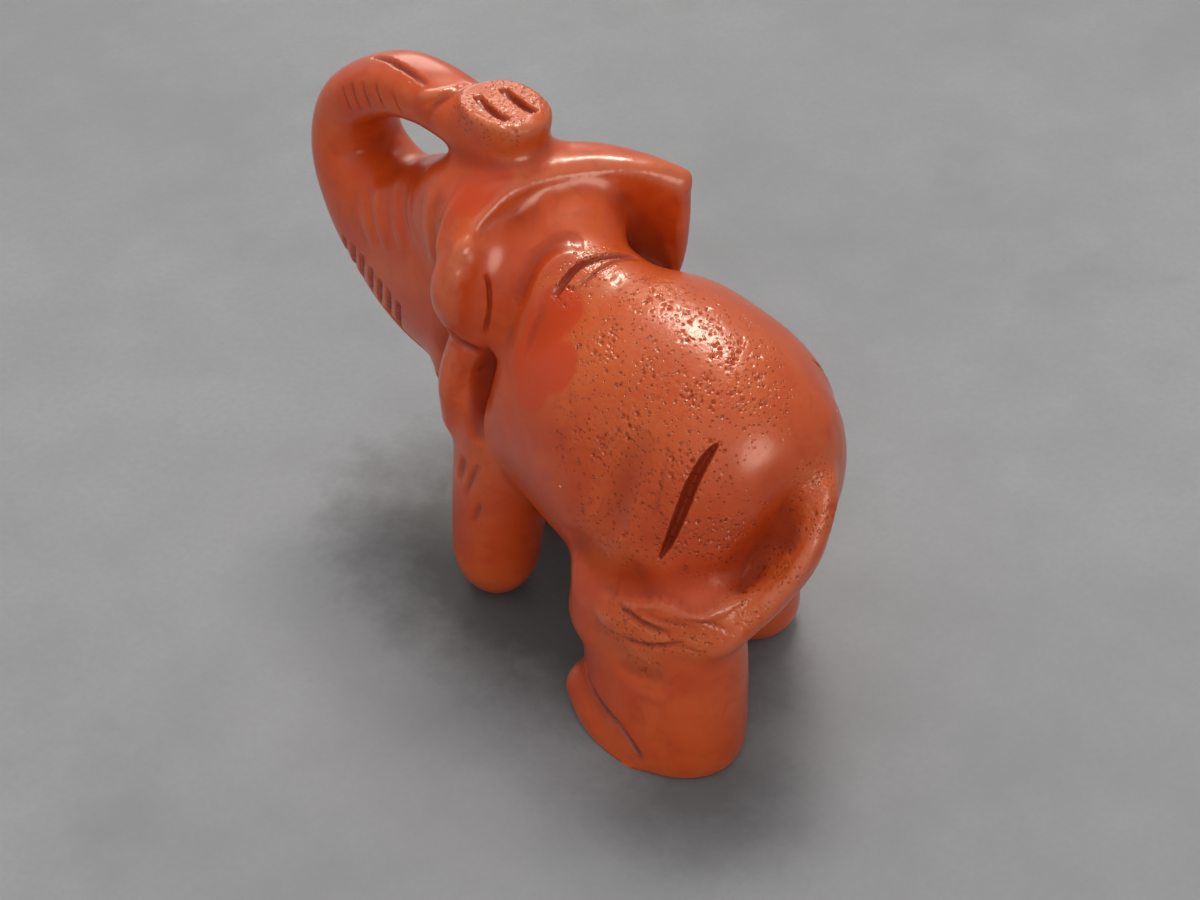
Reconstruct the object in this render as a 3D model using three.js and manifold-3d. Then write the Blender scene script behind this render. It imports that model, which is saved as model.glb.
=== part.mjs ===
// An elephant carved from one piece of red agate, about 52 mm long. It stands on four stumpy legs, with
// the trunk thrown up and curled back onto the forehead, the ears spread and the tail swept round the left
// thigh. +X is the elephant's left, it faces -Y, +Z is up, and the soles rest on z = 0.
import * as THREE from "three";
import { mergeVertices } from "three/addons/utils/BufferGeometryUtils.js";
import Module from "manifold-3d";

// Driving sizes, in millimetres
const LENGTH = 52; // from the rump to the front of the trunk
const LINE_WIDTH = 0.8; // left by the edge of the grinding wheel in the flank and the nape
const LINE_DEPTH = 0.7;
const NOSTRIL_WIDTH = 0.8;
const NOSTRIL_DEPTH = 0.7;

// The pose is written in modules, 52 to the length: X to the left, Y to the back, Z above the soles.
const MODULE = LENGTH / 52;
const STONE = { color: 0xb5532e, roughness: 0.38, metalness: 0 };

// How finely the rounded masses are cut
const CAP_RINGS = 3;
const WHEEL_SIDES = 48;

const wasm = await Module();
wasm.setup();

const vector = (point) => new THREE.Vector3(...point).multiplyScalar(MODULE);
const spline = (points) => new THREE.CatmullRomCurve3(points, false, "catmullrom", 0.5);

function solidOf(positions, triangles) {
  const mesh = new wasm.Mesh({
    numProp: 3,
    vertProperties: new Float32Array(positions),
    triVerts: new Uint32Array(triangles),
  });
  return new wasm.Manifold(mesh);
}

function solidOfGeometry(geometry) {
  geometry.deleteAttribute("normal");
  geometry.deleteAttribute("uv");
  const merged = mergeVertices(geometry, 1e-4);
  return solidOf(merged.attributes.position.array, merged.index.array);
}

// A sine or cosine pushed outwards, which squares an ellipse up where full is under 1.
const fuller = (value, full) => Math.sign(value) * Math.abs(value) ** full;

// One rounded mass of the carving: an ellipse carried along a curve and closed by a dome at each end.
// path is the curve, across and deep are the ellipse's half-widths at the points of the path, side is the
// direction of its across axis, and caps says how far the two domes reach.
function mass({ path, across, deep, caps, side = [1, 0, 0], full = 1, rings = 8, sides = 16 }) {
  const curve = spline(path.map(vector));
  const widths = spline(across.map((width, i) => vector([width, deep[i], 0])));
  const positions = [];
  const ring = (t, shift, scale) => {
    const tangent = curve.getTangent(t);
    const centre = curve.getPoint(t).addScaledVector(tangent, shift * MODULE);
    const sideAxis = new THREE.Vector3(...side);
    sideAxis.addScaledVector(tangent, -sideAxis.dot(tangent)).normalize();
    const deepAxis = new THREE.Vector3().crossVectors(tangent, sideAxis);
    const half = widths.getPoint(t);
    for (let j = 0; j < sides; j++) {
      const angle = (2 * Math.PI * j) / sides;
      const point = centre.clone();
      point.addScaledVector(sideAxis, fuller(Math.cos(angle), full) * scale * half.x);
      point.addScaledVector(deepAxis, fuller(Math.sin(angle), full) * scale * half.y);
      positions.push(...point.toArray());
    }
  };
  const pole = (t, shift) => {
    const point = curve.getPoint(t).addScaledVector(curve.getTangent(t), shift * MODULE);
    positions.push(...point.toArray());
  };
  const turn = (k) => (0.5 * Math.PI * k) / CAP_RINGS;
  pole(0, -caps[0]);
  for (let k = CAP_RINGS - 1; k > 0; k--) ring(0, -caps[0] * Math.sin(turn(k)), Math.cos(turn(k)));
  for (let i = 0; i <= rings; i++) ring(i / rings, 0, 1);
  for (let k = 1; k < CAP_RINGS; k++) ring(1, caps[1] * Math.sin(turn(k)), Math.cos(turn(k)));
  pole(1, caps[1]);
  const ringCount = rings + 2 * CAP_RINGS - 1;
  const last = 1 + ringCount * sides;
  const triangles = [];
  for (let j = 0; j < sides; j++) {
    const next = (j + 1) % sides;
    triangles.push(0, 1 + next, 1 + j);
    for (let i = 0; i < ringCount - 1; i++) {
      const a = 1 + i * sides;
      const b = a + sides;
      triangles.push(a + j, a + next, b + next, a + j, b + next, b + j);
    }
    triangles.push(last, last - sides + j, last - sides + next);
  }
  return solidOf(positions, triangles);
}

// What a grinding wheel takes out between two points of the surface when it is pressed in to a depth.
function wheelCut({ from, to, outwards, depth, width }) {
  const start = vector(from);
  const end = vector(to);
  const chord = end.clone().sub(start);
  const out = new THREE.Vector3(...outwards);
  out.addScaledVector(chord, -out.dot(chord) / chord.lengthSq()).normalize();
  const radius = (chord.lengthSq() / 4 + depth * depth) / (2 * depth);
  const centre = start.add(end).multiplyScalar(0.5).addScaledVector(out, radius - depth);
  const axis = new THREE.Vector3().crossVectors(chord, out).normalize();
  const wheel = new THREE.CylinderGeometry(radius, radius, width, WHEEL_SIDES);
  wheel.applyQuaternion(new THREE.Quaternion().setFromUnitVectors(new THREE.Vector3(0, 1, 0), axis));
  return solidOfGeometry(wheel.translate(...centre.toArray()));
}

const joined = (solids) => solids.reduce((whole, solid) => whole.add(solid));
const carved = (whole, cuts) => cuts.reduce((rest, cut) => rest.subtract(cut), whole);

// Body: the barrel, the chest and the two haunches
const body = [
  {
    path: [[1.1, 11, 20.1], [0.4, 8, 20.4], [0.5, 3, 20.1], [0.6, -4, 19.8]],
    across: [8.7, 9.7, 10.2, 8.6],
    deep: [10.6, 11.3, 11.8, 10.2],
    caps: [6.6, 6],
    rings: 12,
    sides: 28,
  },
  {
    path: [[0, -2, 20], [0, -7, 19.5], [0, -12, 19]],
    across: [8.4, 7.6, 6],
    deep: [10, 9.4, 6.5],
    caps: [5, 4],
  },
  {
    path: [[4.9, 9, 19.4], [6.3, 9.6, 13.6]],
    across: [4.8, 5.3],
    deep: [6.6, 7.6],
    caps: [5.6, 2.2],
    rings: 7,
    sides: 20,
  },
  {
    path: [[-3.8, 8.4, 20], [-5, 7.8, 13]],
    across: [4.6, 4.8],
    deep: [6.2, 5.8],
    caps: [6, 4],
    rings: 7,
  },
];

// Head with the nape behind it and two jaw lobes
const head = [
  {
    path: [[0.4, 2, 23], [0.6, -3.8, 25], [0.6, -9, 27], [0.4, -13, 28.4]],
    across: [8, 6, 6, 5.8],
    deep: [7.6, 7.4, 7.6, 7.4],
    caps: [3, 1],
    rings: 10,
  },
  {
    path: [[-0.2, -10, 28.6], [-0.1, -12, 28.4], [0, -14.4, 26.4]],
    across: [6, 6.2, 5.6],
    deep: [7.8, 8, 7.8],
    caps: [1.8, 2.4],
    full: 0.72,
    rings: 6,
    sides: 20,
  },
  {
    path: [[2.8, -14.6, 23], [2.8, -14.4, 17.2]],
    across: [3, 2.6],
    deep: [3.2, 2.9],
    caps: [3, 2.4],
    rings: 4,
    sides: 12,
  },
  {
    path: [[-2.8, -14.6, 23], [-2.8, -14.4, 17.2]],
    across: [3, 2.6],
    deep: [3.2, 2.9],
    caps: [3, 2.4],
    rings: 4,
    sides: 12,
  },
];

// Trunk from the face to the tip, and the tip that stands on the forehead
const trunk = [
  {
    path: [
      [0, -13, 24.6], [0, -18, 23.7], [0, -22.5, 24.1], [0.1, -26.6, 25.7], [0.1, -29.3, 29.3],
      [0.1, -28.5, 33.6], [0, -24.4, 36.5], [0, -20.4, 37.4], [0, -16.6, 37.2], [0, -13, 37],
    ],
    across: [6, 5.6, 4.9, 4.2, 3.7, 3.3, 2.9, 2.7, 2.6, 2.6],
    deep: [8.6, 8.4, 7.4, 4.9, 3, 2.5, 2.3, 2.1, 2.1, 2.6],
    caps: [2, 1],
    full: 0.84,
    rings: 26,
  },
  {
    path: [[0, -14, 33.6], [0, -13.5, 36.6], [0.1, -12.9, 39.1]],
    across: [2.8, 2.7, 3],
    deep: [3, 3, 3.7],
    caps: [1, 0.7],
    full: 0.86,
    rings: 6,
  },
];

// Ears: the left one folded forwards in two lobes, the right one spread, and the crest that joins them
const ears = [
  {
    path: [[5.8, -10, 32], [6.8, -10.4, 29], [6.4, -10, 25.6]],
    across: [2.4, 2.9, 2],
    deep: [1.6, 2, 1.6],
    caps: [1.4, 1.8],
    side: [1, 0.4, 0],
  },
  {
    path: [[4, -9, 33], [4.9, -7.8, 28], [5.3, -7.4, 23]],
    across: [2.4, 2.4, 2],
    deep: [2, 2.2, 2],
    caps: [2, 2],
    rings: 7,
    sides: 12,
  },
  {
    path: [[5.8, -10, 25], [6.5, -10.7, 21], [6.4, -10.8, 17.2]],
    across: [2, 2.4, 2.2],
    deep: [1.5, 1.6, 1.7],
    caps: [2, 2.6],
    side: [1, 0.2, 0],
    sides: 12,
  },
  {
    path: [[-7.4, -6.2, 33], [-7.2, -6, 28], [-6.6, -6.4, 23.5], [-6, -7, 18.5]],
    across: [3.6, 3.6, 3.2, 3],
    deep: [1.5, 1.5, 1.5, 1.8],
    caps: [1, 2],
    side: [-0.57, 0.82, 0],
    full: 0.8,
  },
  {
    path: [[-4.4, -8.6, 32.6], [-4.8, -7.8, 28], [-5, -7.6, 22]],
    across: [2.6, 2.6, 2.4],
    deep: [2.2, 2.2, 2],
    caps: [2, 2],
    rings: 7,
    sides: 12,
  },
  {
    path: [
      [6.5, -11.2, 31.2], [4.8, -11.4, 33.4], [2.6, -11.1, 34.9], [0, -10.7, 35.1],
      [-4.2, -8.6, 34.7], [-6.9, -5.8, 34.1], [-8.9, -3.7, 33.1],
    ],
    across: [1.4, 1.8, 2.1, 2.3, 2.2, 1.6, 1],
    deep: [1.4, 1.4, 1.4, 1.4, 1.4, 1.4, 1.3],
    caps: [1, 0.8],
    side: [0, 1, 0],
    full: 0.7,
    rings: 14,
    sides: 12,
  },
];

// Legs, left knee and the toes of the left hind foot; the domes run below the soles and are cut off flat
const legs = [
  {
    path: [[7, 9.4, 13], [7, 9.9, 8], [7.2, 10.7, 3.6], [7.2, 10.9, 1]],
    across: [4.7, 4.4, 5, 5.1],
    deep: [7.2, 6.4, 6.6, 6.6],
    caps: [5, 4],
    rings: 9,
    sides: 20,
  },
  {
    path: [[8, 7.6, 13.4], [8.2, 7.2, 9.4]],
    across: [3.4, 3.4],
    deep: [4.2, 4.2],
    caps: [3, 3.4],
    rings: 3,
  },
  {
    path: [[-5.6, 7, 14], [-5.6, 6.8, 8], [-5.8, 6.6, 2]],
    across: [4.3, 3.9, 4.1],
    deep: [5.2, 4.6, 4.8],
    caps: [5, 3.2],
    rings: 6,
  },
  {
    path: [[5, -7.6, 17], [5.1, -8.7, 9.5], [5.3, -9.2, 4]],
    across: [3.8, 3.6, 3.3],
    deep: [4.4, 3.9, 3.6],
    caps: [5, 4.6],
    rings: 6,
  },
  {
    path: [[-5, -9.6, 17], [-4.8, -11.2, 9.5], [-4.9, -12, 4]],
    across: [3.8, 3.6, 3.3],
    deep: [4.4, 3.9, 3.6],
    caps: [5, 4.6],
    rings: 6,
  },
  {
    path: [[8.8, 5.2, 1.4], [9.9, 8, 1], [10.4, 11.6, -0.4]],
    across: [2.3, 2.4, 2],
    deep: [2.3, 2.4, 2.2],
    caps: [1.9, 2],
    rings: 6,
    sides: 12,
  },
];

// Tail, swept round the left thigh to its tuft
const tail = {
  path: [
    [-1.4, 15.5, 23.5], [-0.8, 17.2, 22.1], [0.8, 18.1, 19.6], [2.2, 18.1, 17.5], [3.8, 17.5, 15.6],
    [5.3, 16.7, 14.1], [7.2, 15.7, 12.8], [8.6, 14.2, 12.4], [10, 11.8, 12.5], [10.6, 9.2, 12.4],
  ],
  across: [1.3, 1.5, 1.5, 1.5, 1.5, 1.7, 1.9, 1.9, 1.7, 1.4],
  deep: [1.2, 1.5, 1.5, 1.5, 1.5, 1.6, 1.8, 1.8, 1.6, 1.3],
  caps: [1, 1.6],
  full: 0.8,
  rings: 18,
  sides: 12,
};

// Hollows ground round the masses: between haunch and tail, under the haunch, and behind the right ear
const hollows = [
  {
    path: [
      [1.3, 18, 25], [2.5, 18.6, 23.3], [3.6, 18.7, 21.2], [5.2, 18, 19.3], [7.4, 16.7, 18.4],
      [9.4, 15.1, 18.1], [11.2, 12.5, 17.2], [12.7, 9.3, 15.4],
    ],
    across: [1.4, 1.9, 2.2, 2.4, 2.4, 2.4, 2.1, 1.4],
    deep: [1.4, 1.9, 2.2, 2.4, 2.4, 2.4, 2.1, 1.4],
    caps: [1, 1],
    rings: 14,
    sides: 12,
  },
  {
    path: [[12.6, 9.6, 9.6], [12.2, 11.9, 9.2], [11.6, 13.7, 9], [10.6, 15.8, 9.4]],
    across: [1.2, 1.7, 1.7, 1.2],
    deep: [1.2, 1.7, 1.7, 1.2],
    caps: [1, 1],
    sides: 12,
  },
];

// Lines ground in with the edge of the wheel
const flankLine = {
  from: [5.4, 13.9, 28.4],
  to: [9.9, 12.6, 18.6],
  outwards: [0.7, 0.6, 0.35],
  depth: LINE_DEPTH,
  width: LINE_WIDTH,
};
const napeLine = {
  from: [5.2, -3.3, 29.8],
  to: [-2.2, -1.2, 31.6],
  outwards: [0.2, 0.5, 1],
  depth: LINE_DEPTH,
  width: LINE_WIDTH,
};
const nostrils = [
  { from: [0.7, -14.6, 40], to: [1.2, -11.4, 39.8] },
  { from: [-1.3, -14.2, 40], to: [-1, -10.8, 39.8] },
].map((line) => ({ ...line, outwards: [0, 0.1, 1], depth: NOSTRIL_DEPTH, width: NOSTRIL_WIDTH }));

const figure = joined([...body, ...head, ...trunk, ...ears, ...legs, tail].map(mass));
const lines = [flankLine, napeLine, ...nostrils].map(wheelCut);
const ground = new THREE.BoxGeometry(2 * LENGTH, 2 * LENGTH, LENGTH).translate(0, 0, -LENGTH / 2);
const stone = carved(figure, [...hollows.map(mass), ...lines, solidOfGeometry(ground)]);

function meshOf(solid) {
  const { numProp, vertProperties, triVerts } = solid.getMesh();
  const geometry = new THREE.BufferGeometry();
  geometry.setAttribute("position", new THREE.BufferAttribute(vertProperties, numProp));
  geometry.setIndex(new THREE.BufferAttribute(triVerts, 1));
  geometry.computeVertexNormals();
  return new THREE.Mesh(geometry, new THREE.MeshStandardMaterial(STONE));
}

const elephant = meshOf(stone);
elephant.name = "elephant";
const middle = new THREE.Box3().setFromObject(elephant).getCenter(new THREE.Vector3());
elephant.geometry.translate(-middle.x, -middle.y, 0);

const part = new THREE.Group();
part.add(elephant);
export default part;
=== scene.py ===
import bmesh
import bpy
import numpy as np
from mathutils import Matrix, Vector


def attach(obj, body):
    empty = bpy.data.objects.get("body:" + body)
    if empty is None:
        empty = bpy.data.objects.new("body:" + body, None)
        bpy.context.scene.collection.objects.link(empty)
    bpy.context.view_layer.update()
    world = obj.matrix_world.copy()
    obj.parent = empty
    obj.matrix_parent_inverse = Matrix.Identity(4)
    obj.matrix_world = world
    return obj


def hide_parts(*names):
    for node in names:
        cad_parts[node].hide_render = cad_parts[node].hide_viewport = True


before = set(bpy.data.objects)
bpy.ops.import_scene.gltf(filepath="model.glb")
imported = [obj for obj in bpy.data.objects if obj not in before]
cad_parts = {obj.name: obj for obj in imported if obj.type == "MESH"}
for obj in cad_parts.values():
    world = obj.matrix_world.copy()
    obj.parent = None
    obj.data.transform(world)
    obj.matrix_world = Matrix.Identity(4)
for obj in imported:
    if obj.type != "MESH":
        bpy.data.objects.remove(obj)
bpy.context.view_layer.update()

# The carving is worked out in millimetres in the carver's own axes: X to the elephant's left, Y towards its tail,
# Z up from the soles, with the trunk and the head on X = 0. MIDDLE is the middle of its bounding box.
MM = 0.001
MIDDLE = np.array([1.2234, -6.2704, 0.0])
GRAIN = 0.35  # grid of the fused surface
PAD = np.array([-0.5, -13, 39.62])  # middle of the trunk's flat end
PAD_REACH = 4.2
PITS, PIT_SEED = 760, 4
PIT_RADIUS = (0.09, 0.22)  # least and greatest
CREASE, HOLLOW = 0.05, 0.016  # scales of hollowness, in mm, for creases and for broad hollows


def path_points(points, t):
    """Points of a smooth path at shares t of its length in stations: for the share w between stations b and c,
    with a before them and d after,
    p = (2b + (c-a)w + (2a-5b+4c-d)w^2 + (3b-a-3c+d)w^3) / 2, the two ends carried on in a straight line."""
    p = np.asarray(points, float)
    p = np.vstack([2 * p[:1] - p[1:2], p, 2 * p[-1:] - p[-2:-1]])
    s = t * (len(p) - 3)
    i = np.clip(np.floor(s).astype(int), 0, len(p) - 4)
    w = (s - i)[:, None]
    a, b, c, d = p[i], p[i + 1], p[i + 2], p[i + 3]
    return 0.5 * (2 * b + (c - a) * w + (2 * a - 5 * b + 4 * c - d) * w**2 + (3 * b - a - 3 * c + d) * w**3)


def rounded_mass(path, across, deep, caps, side=(1, 0, 0), full=1.0, step=0.45):
    """One rounded mass as a closed grid over t along its path and an angle q round it:
    P = c(t) + shift*T + scale*across(t)*sgn(cos q)|cos q|^full*S + scale*deep(t)*sgn(sin q)|sin q|^full*(T x S),
    T the path's direction and S the side direction square to it. Over the two domes t stays at an end while
    shift = cap*sin(a) and scale = cos(a) for a from 0 to 90 degrees."""
    path = np.asarray(path, float)
    length = np.linalg.norm(np.diff(path, axis=0), axis=1).sum()
    rows = max(6, int(length / step))
    dome = np.linspace(np.pi / 2, 0, 10)
    t = np.concatenate([np.zeros(10), np.linspace(0, 1, rows), np.ones(10)])
    shift = np.concatenate([-caps[0] * np.sin(dome), np.zeros(rows), caps[1] * np.sin(dome[::-1])])
    scale = np.concatenate([np.cos(dome), np.ones(rows), np.cos(dome[::-1])])
    tangent = path_points(path, np.minimum(t + 1e-4, 1)) - path_points(path, np.maximum(t - 1e-4, 0))
    tangent /= np.linalg.norm(tangent, axis=1)[:, None]
    centre = path_points(path, t) + shift[:, None] * tangent
    s = np.asarray(side, float) - (tangent @ np.asarray(side, float))[:, None] * tangent
    s /= np.linalg.norm(s, axis=1)[:, None]
    lift = np.cross(tangent, s)
    half = path_points(np.stack([across, deep], 1), t) * scale[:, None]
    round_about = max(24, int(2 * np.pi * max(max(across), max(deep)) / step))
    q = np.linspace(0, 2 * np.pi, round_about, endpoint=False)
    c = np.sign(np.cos(q)) * np.abs(np.cos(q)) ** full
    d = np.sign(np.sin(q)) * np.abs(np.sin(q)) ** full
    grid = (
        centre[:, None]
        + (half[:, :1] * c)[:, :, None] * s[:, None]
        + (half[:, 1:] * d)[:, :, None] * lift[:, None]
    )
    n, m = len(t), round_about
    i, j = np.meshgrid(np.arange(n - 1), np.arange(m), indexing="ij")
    k = (j + 1) % m
    faces = np.stack([i * m + j, i * m + k, (i + 1) * m + k, (i + 1) * m + j], -1).reshape(-1, 4)
    return grid.reshape(-1, 3), faces


MASSES = {
    "barrel": dict(
        path=[[1.1, 11, 20.1], [0.4, 8, 20.4], [0.5, 3, 20.1], [0.6, -4, 19.8]],
        across=[8.7, 9.7, 10.2, 8.6],
        deep=[10.6, 11.3, 11.8, 10.2],
        caps=[6.6, 6],
    ),
    "chest": dict(
        path=[[0, -2, 20], [0, -7, 19.5], [0, -12, 19]],
        across=[8.4, 7.6, 6],
        deep=[10, 9.4, 6.5],
        caps=[5, 4],
    ),
    "left haunch": dict(
        path=[[4.9, 9, 19.4], [6.3, 9.6, 13.6]],
        across=[4.8, 5.3],
        deep=[6.6, 7.6],
        caps=[5.6, 2.2],
    ),
    "right haunch": dict(
        path=[[-3.8, 8.4, 20], [-5, 7.8, 13]],
        across=[4.6, 4.8],
        deep=[6.2, 5.8],
        caps=[6, 4],
    ),
    "nape": dict(
        path=[[0.4, 2, 23], [0.6, -3.8, 25], [0.6, -9, 27], [0.4, -13, 28.4]],
        across=[8, 6, 6, 5.8],
        deep=[7.6, 7.4, 6.5, 6.8],
        caps=[3, 1],
    ),
    "head": dict(
        path=[[-0.2, -10, 28.6], [-0.1, -12, 28.4], [0, -14.4, 26.4]],
        across=[6, 6.2, 5.6],
        deep=[7.8, 8, 7.8],
        caps=[1.8, 2.4],
        full=0.72,
    ),
    "left jaw": dict(path=[[2.8, -14.6, 23], [2.8, -14.4, 17.2]], across=[3, 2.6], deep=[3.2, 2.9], caps=[3, 2.4]),
    "right jaw": dict(path=[[-2.8, -14.6, 23], [-2.8, -14.4, 17.2]], across=[3, 2.6], deep=[3.2, 2.9], caps=[3, 2.4]),
    "trunk": dict(
        path=[
            [0, -13, 24.6],
            [0, -18, 23.7],
            [0, -22.5, 24.1],
            [0.1, -26.6, 25.7],
            [0.1, -29.3, 29.3],
            [0.1, -28.5, 33.6],
            [0, -24.4, 36.5],
            [0, -20.4, 37.4],
            [0, -16.6, 37.2],
            [0, -13, 37],
        ],
        across=[6, 5.6, 4.9, 4.2, 3.7, 3.3, 2.9, 2.7, 2.6, 2.6],
        deep=[8.6, 8.4, 7.4, 4.9, 3, 2.5, 2.3, 2.1, 2.1, 2.6],
        caps=[2, 1],
        full=0.84,
    ),
    "trunk tip": dict(
        path=[[-0.3, -13.6, 33.6], [-0.4, -13.3, 36.6], [-0.5, -13, 39.3]],
        across=[3.4, 3, 3.05],
        deep=[3.4, 3.2, 3.4],
        caps=[1, 0.8],
        full=0.86,
    ),
    "left ear": dict(
        path=[[5.8, -10, 32], [6.8, -10.4, 29], [6.4, -10, 25.6]],
        across=[2.4, 2.9, 2],
        deep=[1.6, 2, 1.6],
        caps=[1.4, 1.8],
        side=(1, 0.4, 0),
    ),
    "left ear root": dict(
        path=[[4, -8.9, 31.6], [4.9, -7.9, 28], [5.3, -7.4, 23]],
        across=[2.2, 2.3, 2],
        deep=[1.6, 2, 2],
        caps=[1.6, 2],
    ),
    "left ear lobe": dict(
        path=[[5.8, -10, 25], [6.5, -10.7, 21], [6.4, -10.8, 17.2]],
        across=[2, 2.4, 2.2],
        deep=[1.5, 1.6, 1.7],
        caps=[2, 2.6],
        side=(1, 0.2, 0),
    ),
    "right ear": dict(
        path=[[-7.4, -6.2, 33], [-7.2, -6, 28], [-6.6, -6.4, 23.5], [-6, -7, 18.5]],
        across=[3.6, 3.6, 3.2, 3],
        deep=[1.5, 1.5, 1.5, 1.8],
        caps=[1, 2],
        side=(-0.57, 0.82, 0),
        full=0.8,
    ),
    "right ear root": dict(
        path=[[-4.4, -8.6, 32.6], [-4.8, -7.8, 28], [-5, -7.6, 22]],
        across=[2.6, 2.6, 2.4],
        deep=[2.2, 2.2, 2],
        caps=[2, 2],
    ),
    "crest": dict(
        path=[[6.5, -11.2, 31.2], [4.8, -11.4, 33.4], [2.6, -11.1, 34.9], [0, -10.7, 35.1], [-4.2, -8.6, 34.7],
              [-6.9, -5.8, 34.1], [-8.9, -3.7, 33.1]],
        across=[1.4, 1.8, 2.1, 2.3, 2.2, 1.6, 1],
        deep=[1.4, 1.4, 1.4, 1.4, 1.4, 1.4, 1.3],
        caps=[1, 0.8],
        side=(0, 1, 0),
        full=0.7,
    ),
    "left crest": dict(
        path=[[0, -9.4, 34.7], [2.8, -10.1, 34.6], [5.2, -10.3, 33.7], [6.8, -10.2, 32.3], [7.4, -9.8, 30.6]],
        across=[1.4, 1.3, 1.2, 1.2, 1.2],
        deep=[1, 0.95, 0.95, 1, 1.1],
        caps=[1, 1],
        side=(0, 1, 0.3),
    ),
    "right ear back": dict(
        path=[[0.4, -7, 32.4], [-2.2, -6.2, 32.1], [-4.2, -5.6, 31]],
        across=[1.8, 1.8, 1.4],
        deep=[1.8, 1.8, 1.4],
        caps=[1, 1],
    ),
    "left hind leg": dict(
        path=[[7, 9.4, 13], [6.9, 10.3, 8.4], [7.1, 10.8, 3.6], [7.2, 10.9, 1]],
        across=[4.7, 4.9, 5, 5.1],
        deep=[7.2, 6.9, 6.7, 6.6],
        caps=[5, 4],
    ),
    "left knee": dict(path=[[8, 7.6, 13.4], [8.2, 7.2, 9.4]], across=[3.4, 3.4], deep=[4.2, 4.2], caps=[3, 3.4]),
    "right hind leg": dict(
        path=[[-5.6, 7, 14], [-5.6, 6.8, 8], [-5.8, 6.6, 2]],
        across=[4.3, 3.9, 4.1],
        deep=[5.2, 4.6, 4.8],
        caps=[5, 3.2],
    ),
    "left fore leg": dict(
        path=[[5, -7.6, 17], [5.1, -8.7, 9.5], [5.3, -9.2, 4]],
        across=[3.8, 3.6, 3.3],
        deep=[4.4, 3.9, 3.6],
        caps=[5, 4.6],
    ),
    "right fore leg": dict(
        path=[[-5, -9.6, 17], [-4.8, -11.2, 9.5], [-4.9, -12, 4]],
        across=[3.8, 3.6, 3.3],
        deep=[4.4, 3.9, 3.6],
        caps=[5, 4.6],
    ),
    "toes": dict(
        path=[[8.8, 5.2, 1.4], [9.9, 8, 1], [10.4, 11.6, -0.4]],
        across=[2.3, 2.4, 2],
        deep=[2.3, 2.4, 2.2],
        caps=[1.9, 2],
    ),
    "tail": dict(
        path=[
            [-1.4, 15.5, 23.5],
            [-0.8, 17.2, 22.1],
            [0.8, 18.1, 19.6],
            [2.2, 18.1, 17.5],
            [3.8, 17.5, 15.6],
            [5.3, 16.7, 14.1],
            [7.2, 15.7, 12.8],
            [8.6, 14.2, 12.4],
            [10, 11.8, 12.5],
            [10.6, 9.2, 12.4],
        ],
        across=[1.3, 1.5, 1.5, 1.5, 1.5, 1.7, 1.9, 1.9, 1.7, 1.4],
        deep=[1.2, 1.5, 1.5, 1.5, 1.5, 1.6, 1.8, 1.8, 1.6, 1.3],
        caps=[1, 1.6],
        full=0.8,
    ),
}


def mesh_from(name, points, faces):
    """A mesh of these points and faces."""
    mesh = bpy.data.meshes.new(name)
    mesh.from_pydata(points.tolist(), [], faces.tolist())
    mesh.update()
    return mesh


def together(shapes):
    """Several shapes as one: their points in a row, and each shape's faces counted on from the points before."""
    points, faces, count = [], [], 0
    for p, f in shapes:
        points.append(p)
        faces.append(f + count)
        count += len(p)
    return np.vstack(points), np.vstack(faces)


def arrays_of(mesh):
    """A mesh's points and faces as arrays, in triangles unless every face has four corners."""
    points = np.empty(len(mesh.vertices) * 3)
    mesh.vertices.foreach_get("co", points)
    ends = np.empty(len(mesh.polygons), int)
    mesh.polygons.foreach_get("loop_total", ends)
    corners = np.empty(len(mesh.loops), int)
    mesh.loops.foreach_get("vertex_index", corners)
    if (ends == 4).all():
        return points.reshape(-1, 3), corners.reshape(-1, 4)
    mesh.calc_loop_triangles()
    tris = np.empty(len(mesh.loop_triangles) * 3, int)
    mesh.loop_triangles.foreach_get("vertices", tris)
    return points.reshape(-1, 3), tris.reshape(-1, 3)


def fused(points, faces):
    """One skin round all the masses: the border between the inside and the outside of their sum on a grid of cubes
    GRAIN wide."""
    obj = bpy.data.objects.new("working", mesh_from("working", points, faces))
    bpy.context.collection.objects.link(obj)
    remesh = obj.modifiers.new("fuse", "REMESH")
    remesh.mode = "VOXEL"
    remesh.voxel_size = GRAIN
    remesh.adaptivity = 0
    skin = arrays_of(bpy.data.meshes.new_from_object(obj.evaluated_get(bpy.context.evaluated_depsgraph_get())))
    bpy.data.objects.remove(obj)
    return skin


def edges_of(faces):
    """Each side of a face once, as its two corners, the lower number first."""
    e = np.vstack([faces[:, [a, (a + 1) % faces.shape[1]]] for a in range(faces.shape[1])])
    return np.unique(np.sort(e, 1), axis=0)


def normals_of(points, faces):
    """Unit normals at the points: the faces' areas as vectors, (p2 - p0) x (p_last - p1), summed over the faces at
    each point and brought to length 1."""
    n = np.cross(points[faces[:, 2]] - points[faces[:, 0]], points[faces[:, -1]] - points[faces[:, 1]])
    out = np.zeros_like(points)
    for k in range(3):
        out[:, k] = sum(np.bincount(faces[:, a], n[:, k], len(points)) for a in range(faces.shape[1]))
    return out / np.maximum(np.linalg.norm(out, axis=1), 1e-12)[:, None]


def pull(points, edges):
    """From each point to the mean of its neighbours: sum(neighbours) / count - p."""
    a, b = edges[:, 0], edges[:, 1]
    count = np.bincount(a, minlength=len(points)) + np.bincount(b, minlength=len(points))
    total = np.stack(
        [
            np.bincount(a, points[b, k], len(points)) + np.bincount(b, points[a, k], len(points))
            for k in range(points.shape[1])
        ],
        1,
    )
    return total / np.maximum(count, 1)[:, None] - points


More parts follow.
